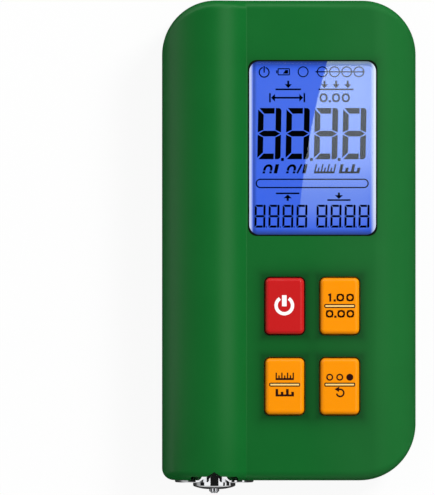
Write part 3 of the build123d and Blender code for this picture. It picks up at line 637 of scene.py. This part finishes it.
points = [box_outline(x - 0.33, 18.25, x + 0.33, 18.95, 0.15) for x in (-1.5, 5.15, 11.5)]
for left in SMALL_LEFTS:
    points += [
        box_outline(left + 2.62 + i * 3.2, SMALL_LOW, left + 2.87 + i * 3.2, SMALL_LOW + 0.3)
        for i in range(FIGURES - 1)
    ]
on_glass("decimal_points", points)

bar_graph = line(box_outline(-7.5, 12.15, 18.15, 14.05, 0.94, 10), 0.29, closed=True)
on_glass("bar_graph", bar_graph)


def power_sign(x, y, radius, width, stem):
    """The usual on-off sign: an open ring with an upright bar in its gap."""
    gap = math.degrees(math.asin((stem / 2 + 0.3 * width + 0.25 * stem) / radius))
    ring = line(arc(x, y, radius, 90 + gap, 450 - gap), width)
    return ring + [box_outline(x - stem / 2, y - 0.1 * radius, x + stem / 2, y + 1.25 * radius)]


ICONS_Y = 38.7
battery = line(box_outline(-2.5, ICONS_Y - 0.7, 0.1, ICONS_Y + 0.7, 0.12), 0.24, closed=True)
battery.append(box_outline(-2.95, ICONS_Y - 0.33, -2.66, ICONS_Y + 0.33))
battery.append([(-1.4, ICONS_Y - 0.42), (-0.2, ICONS_Y - 0.42), (-0.2, ICONS_Y + 0.42),
                (-0.8, ICONS_Y + 0.42)])
on_glass("battery_sign", battery)
on_glass("power_sign", power_sign(-5.7, ICONS_Y - 0.1, 1.12, 0.29, 0.3))

RING_RADIUS = 1.13
RING_STROKE = 0.25
on_glass("alarm_ring", line(arc(3.24, ICONS_Y, RING_RADIUS), RING_STROKE, closed=True))
row_on_glass("mode_rings", line(arc(7.65, ICONS_Y, RING_RADIUS), RING_STROKE, closed=True), 4, 2.79)
rail = [box_outline(6.5, ICONS_Y - 0.13, 17.0, ICONS_Y + 0.13)]
for tip, base in ((5.95, 6.6), (17.5, 16.9)):
    rail.append([(tip, ICONS_Y), (base, ICONS_Y - 0.3), (base, ICONS_Y + 0.3)])
on_glass("mode_rail", rail)


def press_sign(left, right, low, presses):
    """One or more arrows coming down on a line."""
    shapes = [box_outline(left, low, right, low + 0.36)]
    for i in range(presses):
        x = left + (right - left) * (i + 0.5) / presses
        shapes.append([(x, low + 0.45), (x + 0.8, low + 1.35), (x - 0.8, low + 1.35)])
        shapes.append(box_outline(x - 0.22, low + 1.35, x + 0.22, low + 2.15))
    return shapes


def span_sign(left, right, y, height):
    """A double-headed arrow between two stops."""
    half, head = height / 2, 0.42 * height
    shapes = [box_outline(x - 0.18, y - half, x + 0.18, y + half) for x in (left + 0.18, right - 0.18)]
    shapes.append([(left + 0.45, y), (left + 0.45 + head, y - head), (left + 0.45 + head, y + head)])
    shapes.append([(right - 0.45, y), (right - 0.45 - head, y + head), (right - 0.45 - head, y - head)])
    shapes.append(box_outline(left + 0.45 + head, y - 0.2, right - 0.45 - head, y + 0.2))
    return shapes


def zeros_sign(places, low, width, height, stroke, first="0"):
    """Plain figures with a point after the first: 0.00 or 1.00."""
    inset = stroke / 2
    shapes = []
    for i, left in enumerate(places):
        if i or first == "0":
            ring = box_outline(left + inset, low + inset, left + width - inset, low + height - inset,
                               0.42 * width)
            shapes += line(ring, stroke, closed=True)
        else:
            right = left + 0.75 * width
            shapes += line([(right - 0.35 * width, low + 0.8 * height),
                            (right - inset, low + height - inset), (right - inset, low)], stroke)
    point = (places[0] + width + places[1]) / 2
    return shapes + [box_outline(point - 0.6 * stroke, low, point + 0.6 * stroke, low + 1.2 * stroke)]


PRESS_Y = 34.5
on_glass("single_sign", press_sign(-3.1, 2.75, PRESS_Y, 1))
on_glass("repeat_sign", press_sign(6.8, 14.8, PRESS_Y, 3))
on_glass("calibrate_sign", span_sign(-4.55, 3.7, 32.75, 2.1))
on_glass("zero_sign", zeros_sign((7.0, 9.85, 12.1), 31.7, 1.85, 2.1, 0.4))


def magnet_sign(left, height, struck):
    """A horseshoe magnet and a plate, with a stroke between them for metals that it doesn't hold."""
    width = 0.27 * height
    radius = 0.5 * height - width / 2
    middle = left + radius + width / 2
    arch = [(middle + radius, 0.3 * height), *arc(middle, 0.5 * height, radius, 0, 180, 14),
            (middle - radius, 0.3 * height)]
    shapes = line(arch, width)
    for x in (middle - radius, middle + radius):
        shapes.append(box_outline(x - width / 2, 0, x + width / 2, 0.22 * height))
    plate = middle + radius + (1.9 if struck else 0.75)
    shapes.append(box_outline(plate, 0, plate + 0.8, height))
    if struck:
        shapes += line([(plate - 1.15, 0), (plate - 0.55, height)], 0.45)
    return shapes


def ruler_sign(left, right, low, height, ticks):
    """A rule with this many divisions."""
    shapes = [box_outline(left, low, right, low + 0.45)]
    width = 0.42 * (right - left) / ticks
    for i in range(ticks + 1):
        x = left + (right - left - width) * i / ticks
        top = height if i % 2 == 0 else 0.62 * height
        shapes.append(box_outline(x, low + 0.45, x + width, low + top))
    return shapes


UNITS_Y = 15.4
UNITS_HEIGHT = 2.1
UNITS_LEAN = 0.22
for name, shapes in (
    ("steel_sign", magnet_sign(-6.1, UNITS_HEIGHT, False)),
    ("other_metal_sign", magnet_sign(-0.7, UNITS_HEIGHT, True)),
    ("fine_unit_sign", ruler_sign(5.7, 10.4, 0, UNITS_HEIGHT, 6)),
    ("coarse_unit_sign", ruler_sign(11.4, 16.1, 0, UNITS_HEIGHT, 3)),
):
    on_glass(name, shift(shapes, 0, UNITS_Y, UNITS_LEAN))


def limit_sign(left, right, low, height, up):
    """An arrow against a bar, for the highest or lowest reading."""
    middle, head = (left + right) / 2, 0.5 * height
    shapes = [box_outline(left, height - 0.36, right, height),
              [(middle, height - 0.45), (middle - head, height - 1.3), (middle + head, height - 1.3)],
              box_outline(middle - 0.24, 0, middle + 0.24, height - 1.3)]
    if not up:
        shapes = [[(x, height - y) for x, y in reversed(shape)] for shape in shapes]
    return shift(shapes, 0, low)


LIMITS_Y = 9.1
LIMITS_HEIGHT = 1.9
on_glass("highest_sign", limit_sign(-3.0, 2.4, LIMITS_Y, LIMITS_HEIGHT, True))
on_glass("lowest_sign", limit_sign(8.8, 14.1, LIMITS_Y, LIMITS_HEIGHT, False))


# The window: a clear acrylic pane with rounded edges, taped into its seat in the face. Its surface
# mirrors from outside only, because light isn't bent on its way through.
ACRYLIC_TINT = (0.985, 0.99, 1.0, 1.0)
ACRYLIC_IOR = 1.49
clear, tree = new_material("window_acrylic")
outside = 1 - Signal.add(tree, "ShaderNodeNewGeometry", output="Backfacing")
edge_on = Signal.add(tree, "ShaderNodeFresnel", inputs={"IOR": ACRYLIC_IOR}) * outside
through = Signal.add(tree, "ShaderNodeBsdfTransparent", inputs={"Color": ACRYLIC_TINT})
shine = Signal.add(tree, "ShaderNodeBsdfGlossy", inputs={"Color": WHITE, "Roughness": 0.0})
finish_material(clear, blend_shaders(tree, edge_on, through, shine))
window = smooth_copy("display_window", "window_pane", "case", clear)


# The ring of clear tape under the pane, given the screen's material, so that it glows with painted
# light, though tape gives none, and carries the painted highlights out to the pane's edge; and a
# black bead in the narrow gap round the pane, a dark piece put where there is only shade.
TAPE_WIDTH = 0.7
TAPE_RISE = 0.02 * MM  # how far the tape reaches into the pane
GAP_SHADE_DEPTH = 0.3 * MM
GAP_SHADE_RISE = 0.015 * MM
CORNER_STEPS = 16


def window_ring(inside, outside, inner_corner, outer_corner):
    """A flat ring along the pane's edge, from inside to outside of that edge, in millimetres."""
    rims = [
        box_outline(WINDOW_LOW.x / MM - out, WINDOW_LOW.y / MM - out,
                    WINDOW_HIGH.x / MM + out, WINDOW_HIGH.y / MM + out, corner, CORNER_STEPS)
        for out, corner in ((inside, inner_corner), (outside, outer_corner))
    ]
    count = len(rims[0])
    return [[rims[0][i], rims[0][(i + 1) % count], rims[1][(i + 1) % count], rims[1][i]]
            for i in range(count)]


tape_low, tape_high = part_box("window_tape")
# Painted light: the tape glows with the screen's colour and its painted highlights.
tape = printed("clear_tape", window_ring(-TAPE_WIDTH, 0.0, 1.1, 1.8), tape_low.z,
               tape_high.z + TAPE_RISE, screen_blue, "case")
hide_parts("window_tape")
# A black piece put in the gap round the pane, to stand for the shade there.
gap_shade = speckled("gap_shade_black", srgb(8, 16, 10), 0.5 * MM, 0.2, 0.5, 0.2)
printed("window_bead", window_ring(-0.04, 0.27, 2.3, 2.05), FACE_HEIGHT - GAP_SHADE_DEPTH,
        FACE_HEIGHT + GAP_SHADE_RISE, gap_shade, "case")


# The glare on the window comes in two parts with one slanting edge. The first is a white card
# above it that only the pane mirrors, brightest towards the top end.
CARD_HEIGHT = 0.30
CARD_ENDS = (43.0, 0.0)
CARD_RIGHT = 24.0
CARD_STEPS = 12
CARD_COLOUR = (0.8, 0.9, 1.0, 1.0)
CARD_STRENGTH = 4.0
CARD_MAIN_RISE = (10 * MM, 25 * MM, 0.0, 0.85)
CARD_LAST_RISE = (28 * MM, 44 * MM, 0.0, 0.15)


def glare_edge(y):
    """How far to the right the glare begins at this height up the window, in millimetres."""
    return y * y * 0.0029 + y * 0.045 + 2.0


def above_window(x, y):
    """The place on the card that the camera sees mirrored at this place on the window."""
    reach = CARD_HEIGHT / CAMERA_DISTANCE
    middle = camera.location
    return (x * MM + (x * MM - middle.x) * reach, y * MM + (y * MM - middle.y) * reach)


def glare_card():
    """The card: a strip between its slanting edge and a line beyond the window's right."""
    work = bmesh.new()
    rows = []
    for step in range(CARD_STEPS + 1):
        y = CARD_ENDS[0] + (CARD_ENDS[1] - CARD_ENDS[0]) * step / CARD_STEPS
        left, right = above_window(glare_edge(y), y), above_window(CARD_RIGHT, y)
        rows.append([work.verts.new((*place, FACE_HEIGHT + CARD_HEIGHT)) for place in (left, right)])
    for upper, lower in zip(rows, rows[1:]):
        work.faces.new((upper[0], upper[1], lower[1], lower[0]))
    return add_object("glare_card", new_mesh("glare_card", work))


def collected(name, pieces):
    """A collection of pieces, to be the only ones that a lamp or a card reaches."""
    chosen = bpy.data.collections.new(name)
    for piece in pieces:
        chosen.objects.link(piece)
    return chosen


def only_mirrored(cards, name, pieces):
    """Hides studio cards from everything but the mirrored light of some pieces."""
    for kind in ("camera", "diffuse", "shadow", "transmission", "volume_scatter"):
        setattr(cards, "visible_" + kind, False)
    cards.light_linking.receiver_collection = collected(name, pieces)


card = glare_card()
card_white, tree = new_material("card_white")
(y,) = parts_of(object_place(tree), "Y")
level = y.smooth(*CARD_MAIN_RISE) + y.smooth(*CARD_LAST_RISE)
dim, bright = (emission(tree, strength, CARD_COLOUR) for strength in (0.0, CARD_STRENGTH))
highlight = blend_shaders(tree, level, dim, bright)
clear_too = Signal.add(tree, "ShaderNodeBsdfTransparent")
finish_material(card_white, Signal.add(tree, "ShaderNodeAddShader", inputs={0: highlight, 1: clear_too}))
card.data.materials.append(card_white)
only_mirrored(card, "pane_only", [window])

# The second is a small projector straight above the window that lights the screen behind the pane,
# sharply cut off along the slanting edge and fading towards the foot.
PROJECTOR_HEIGHT = 1.0
PROJECTOR_POWER = 200.0
BEAM_EDGE = (-0.1, 0.1)
BEAM_FOOT = (1.0, 9.0)
LEAST_DOWN = 0.01  # keeps the divisions below from running away at level rays
beam = bpy.data.lights.new("projector", "POINT")
beam.shadow_soft_size = 0.0
beam.energy = PROJECTOR_POWER
beam.use_nodes = True
tree = beam.node_tree
tree.nodes.clear()
direction = Signal.add(tree, "ShaderNodeTexCoord", output="Normal")
aside, along, down = parts_of(direction, "XYZ")
reach = abs(down).math("MAXIMUM", LEAST_DOWN)
x = aside.math("DIVIDE", reach) * (PROJECTOR_HEIGHT / MM) + window_middle.x / MM
y = along.math("DIVIDE", reach) * (PROJECTOR_HEIGHT / MM) + window_middle.y / MM
lit = (x - glare_edge(y)).smooth(*BEAM_EDGE) * y.smooth(*BEAM_FOOT)
shine = emission(tree, lit)
tree.links.new(shine.socket, tree.nodes.new("ShaderNodeOutputLight").inputs["Surface"])
projector = add_object("projector", beam)
projector.location = (window_middle.x, window_middle.y, GLASS_TOP + PROJECTOR_HEIGHT)
projector.visible_glossy = False
projector.light_linking.receiver_collection = collected("screen_only", [nodes["display_glass"], tape])


# The keys: one red and three orange caps, moulded in colour with rounded edges and printed signs,
# that stand a millimetre out of their openings.
KEY_RED = srgb(200, 30, 31)
KEY_ORANGE = srgb(252, 149, 0)
red, orange = (
    plastic(name, colour, 0.14, depth=0.001 * MM, mottle=0.03)
    for name, colour in (("key_red_plastic", KEY_RED), ("key_orange_plastic", KEY_ORANGE))
)
for name in KEYS:
    finish, slot = (red, "key_red") if name == "power" else (orange, "key_orange")
    smooth_copy(f"{name}_key", f"{name}_cap", f"{name}_key", finish)


INK_GLOSS = (0.3 * MM, 0.15, 0.4, 0.25)
INK_RISE = 0.02 * MM
PALE_RISE = 0.015 * MM
white_ink = speckled("white_ink", srgb(255, 255, 255), *INK_GLOSS)
brown_ink = speckled("brown_ink", srgb(44, 8, 4), *INK_GLOSS)
pale_ink = speckled("pale_ink", srgb(255, 214, 130), *INK_GLOSS)


def on_key(key, sign, shapes, material, rise=INK_RISE):
    """A sign printed on a key, its outlines measured from the key's middle."""
    low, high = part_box(f"{key}_key")
    x, y = (low.x + high.x) / 2 / MM, (low.y + high.y) / 2 / MM
    return printed(f"{key}_{sign}", shift(shapes, x, y), high.z - SUNK, high.z + rise, material,
                   f"{key}_key")


on_key("power", "print", power_sign(-0.1, 0.12, 1.88, 0.76, 1.05), white_ink)
for key, bar_y in (("calibrate", 0.0), ("unit", 0.4), ("mode", 0.4)):
    bar = box_outline(-3.4, bar_y - 0.26, 3.4, bar_y + 0.26, 0.2)
    on_key(key, "bar", [bar], pale_ink, PALE_RISE)
    rim = line(box_outline(-3.42, bar_y - 0.32, 3.42, bar_y + 0.32, 0.2), 0.26, closed=True)
    on_key(key, "bar_edge", rim, brown_ink)

on_key("calibrate", "upper", zeros_sign((-3.35, -0.8, 1.45), 1.02, 1.85, 1.85, 0.42, "1"), brown_ink)
on_key("calibrate", "lower", zeros_sign((-3.25, -0.6, 1.5), -2.7, 1.85, 1.85, 0.42), brown_ink)
on_key("unit", "upper", shift(ruler_sign(-2.1, 2.1, 0, 1.7, 6), 0, 1.45), brown_ink)
on_key("unit", "lower", shift(ruler_sign(-2.1, 2.1, 0, 1.7, 3), 0, -2.3), brown_ink)
choice = [shape for x in (-2.3, 0.0) for shape in line(arc(x, 2.1, 0.64, steps=24), 0.32, closed=True)]
on_key("mode", "upper", choice + [arc(2.3, 2.1, 0.8, steps=24)], brown_ink)
back = line(arc(0.1, -1.5, 0.82, 115, -170, 28), 0.36)
back.append([(-0.1, -0.05), (-1.2, -0.62), (-0.2, -1.3)])
on_key("mode", "lower", back, brown_ink)


# The probe: a bright plated collar let into the foot of the tube, with the turned head that slides
# in it and the hardened pin at its end.
chrome = metal("probe_chrome", srgb(240, 241, 243), 0.03, streak=(1, 8, 1), scratch=0.04)
pin_steel = metal("pin_steel", srgb(215, 216, 220), 0.10, scratch=0.05)
probe_pieces = [
    smooth_copy("probe_collar", "collar", "case", chrome),
    smooth_copy("probe_head", "head", "probe", chrome),
    smooth_copy("probe_tip", "pin", "probe", pin_steel),
]

# An arch of black, grey and white cards round the probe, off the foot of the case, and a sheet on
# the floor before it. Only mirrored light sees them: the arch draws dark and bright streaks along
# the turned metal, and the sheet brightens its flat end.
ARCH_RADIUS = 0.12
ARCH_DEPTH = (-0.20, -0.046)
ARCH_STEPS = 4
ARCH_CARDS = (  # from and to, in degrees from straight up, and how bright
    (-120, -80, 0.4), (-80, -54, 0.01), (-54, -22, 1.0), (-22, 23, 0.01), (23, 50, 1.0),
    (50, 60, 0.01), (60, 67, 1.0), (67, 88, 0.01), (88, 104, 1.0), (104, 120, 0.4),
)
SHEET_CORNERS = ((-0.3, -0.6), (0.3, -0.6), (0.3, -0.062), (-0.3, -0.062))
SHEET_HEIGHT = 0.2 * MM
SHEET_LEVELS = (0.02, 0.7)
SHEET_RISE = (-0.16, -0.08, 0.4, 1.0)
SHEET_END = (-0.08, -0.065, 1.0, 0.0)
collar_low, collar_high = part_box("probe_collar")
arch_middle = (collar_low + collar_high) / 2
work = bmesh.new()
for i, (first, last, strength) in enumerate(ARCH_CARDS):
    rows = []
    for step in range(ARCH_STEPS + 1):
        turn = math.radians(first + (last - first) * step / ARCH_STEPS)
        x = arch_middle.x + ARCH_RADIUS * math.sin(turn)
        z = arch_middle.z + ARCH_RADIUS * math.cos(turn)
        rows.append([work.verts.new((x, y, z)) for y in ARCH_DEPTH])
    for near, far in zip(rows, rows[1:]):
        work.faces.new((near[0], near[1], far[1], far[0])).material_index = i
sheet_face = work.faces.new([work.verts.new((x, y, SHEET_HEIGHT)) for x, y in SHEET_CORNERS])
sheet_face.material_index = len(ARCH_CARDS)
arch = add_object("arch", new_mesh("arch", work))
for first, last, strength in ARCH_CARDS:
    card_finish, tree = new_material("arch_card")
    arch.data.materials.append(finish_material(card_finish, emission(tree, strength)))
card_grey, tree = new_material("card_grey")
(y,) = parts_of(object_place(tree), "Y")
dim, bright = (emission(tree, strength) for strength in SHEET_LEVELS)
level = y.smooth(*SHEET_RISE) * y.smooth(*SHEET_END)
arch.data.materials.append(finish_material(card_grey, blend_shaders(tree, level, dim, bright)))
only_mirrored(arch, "probe_only", probe_pieces)


# The charging port in the top end: a folded steel shell round a black tongue. The same plain
# steel serves for the sleeve and the wound spring behind the probe's head.
port_steel = metal("port_steel", srgb(200, 200, 202), 0.22)
spring = smooth_copy("probe_spring", "spring", "case", port_steel)
spring_low, spring_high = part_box("probe_spring")
plunge = next(joint["range_m"][1] for joint in frame["joints"] if joint["name"] == "probe_plunge")
1 - plunge / (spring_high.y - spring_low.y)
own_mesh(spring)
black_plastic = plastic("black_plastic", srgb(22, 22, 24), 0.45)
repaint(["usb_shell", "probe_sleeve"], port_steel)
dark_nodes = ["usb_tongue", "display_frame", "sleeve_cap", "microcontroller", "charging_chip", "buzzer"]
repaint(dark_nodes + [name for name in nodes if name.endswith("_switch")], black_plastic)


# What the case hides: the board with its parts, the cell and the two leads.
moulded = [name for name in nodes if name.endswith(("_plunger", "_plug", "_socket"))]
for name, colour, roughness, pieces in (
    ("white_plastic", srgb(228, 228, 222), 0.4, [*moulded, "display_backlight", "coil_bobbin"]),
    ("board_solder_mask", srgb(18, 84, 46), 0.25, ["main_board", "battery_guard"]),
    ("grey_rubber", srgb(92, 92, 94), 0.7, ["contact_strip_top", "contact_strip_foot"]),
    ("cell_wrap", srgb(44, 88, 142), 0.3, ["battery_cell"]),
    ("red_insulation", srgb(176, 22, 18), 0.4, ["battery_lead"]),
    ("black_insulation", srgb(16, 16, 16), 0.4, ["probe_lead"]),
):
    repaint(pieces, plastic(name, colour, roughness))
copper = metal("coil_copper", srgb(196, 116, 66), 0.3, streak=(1, 20, 1))
repaint(["sensing_coil"], copper)
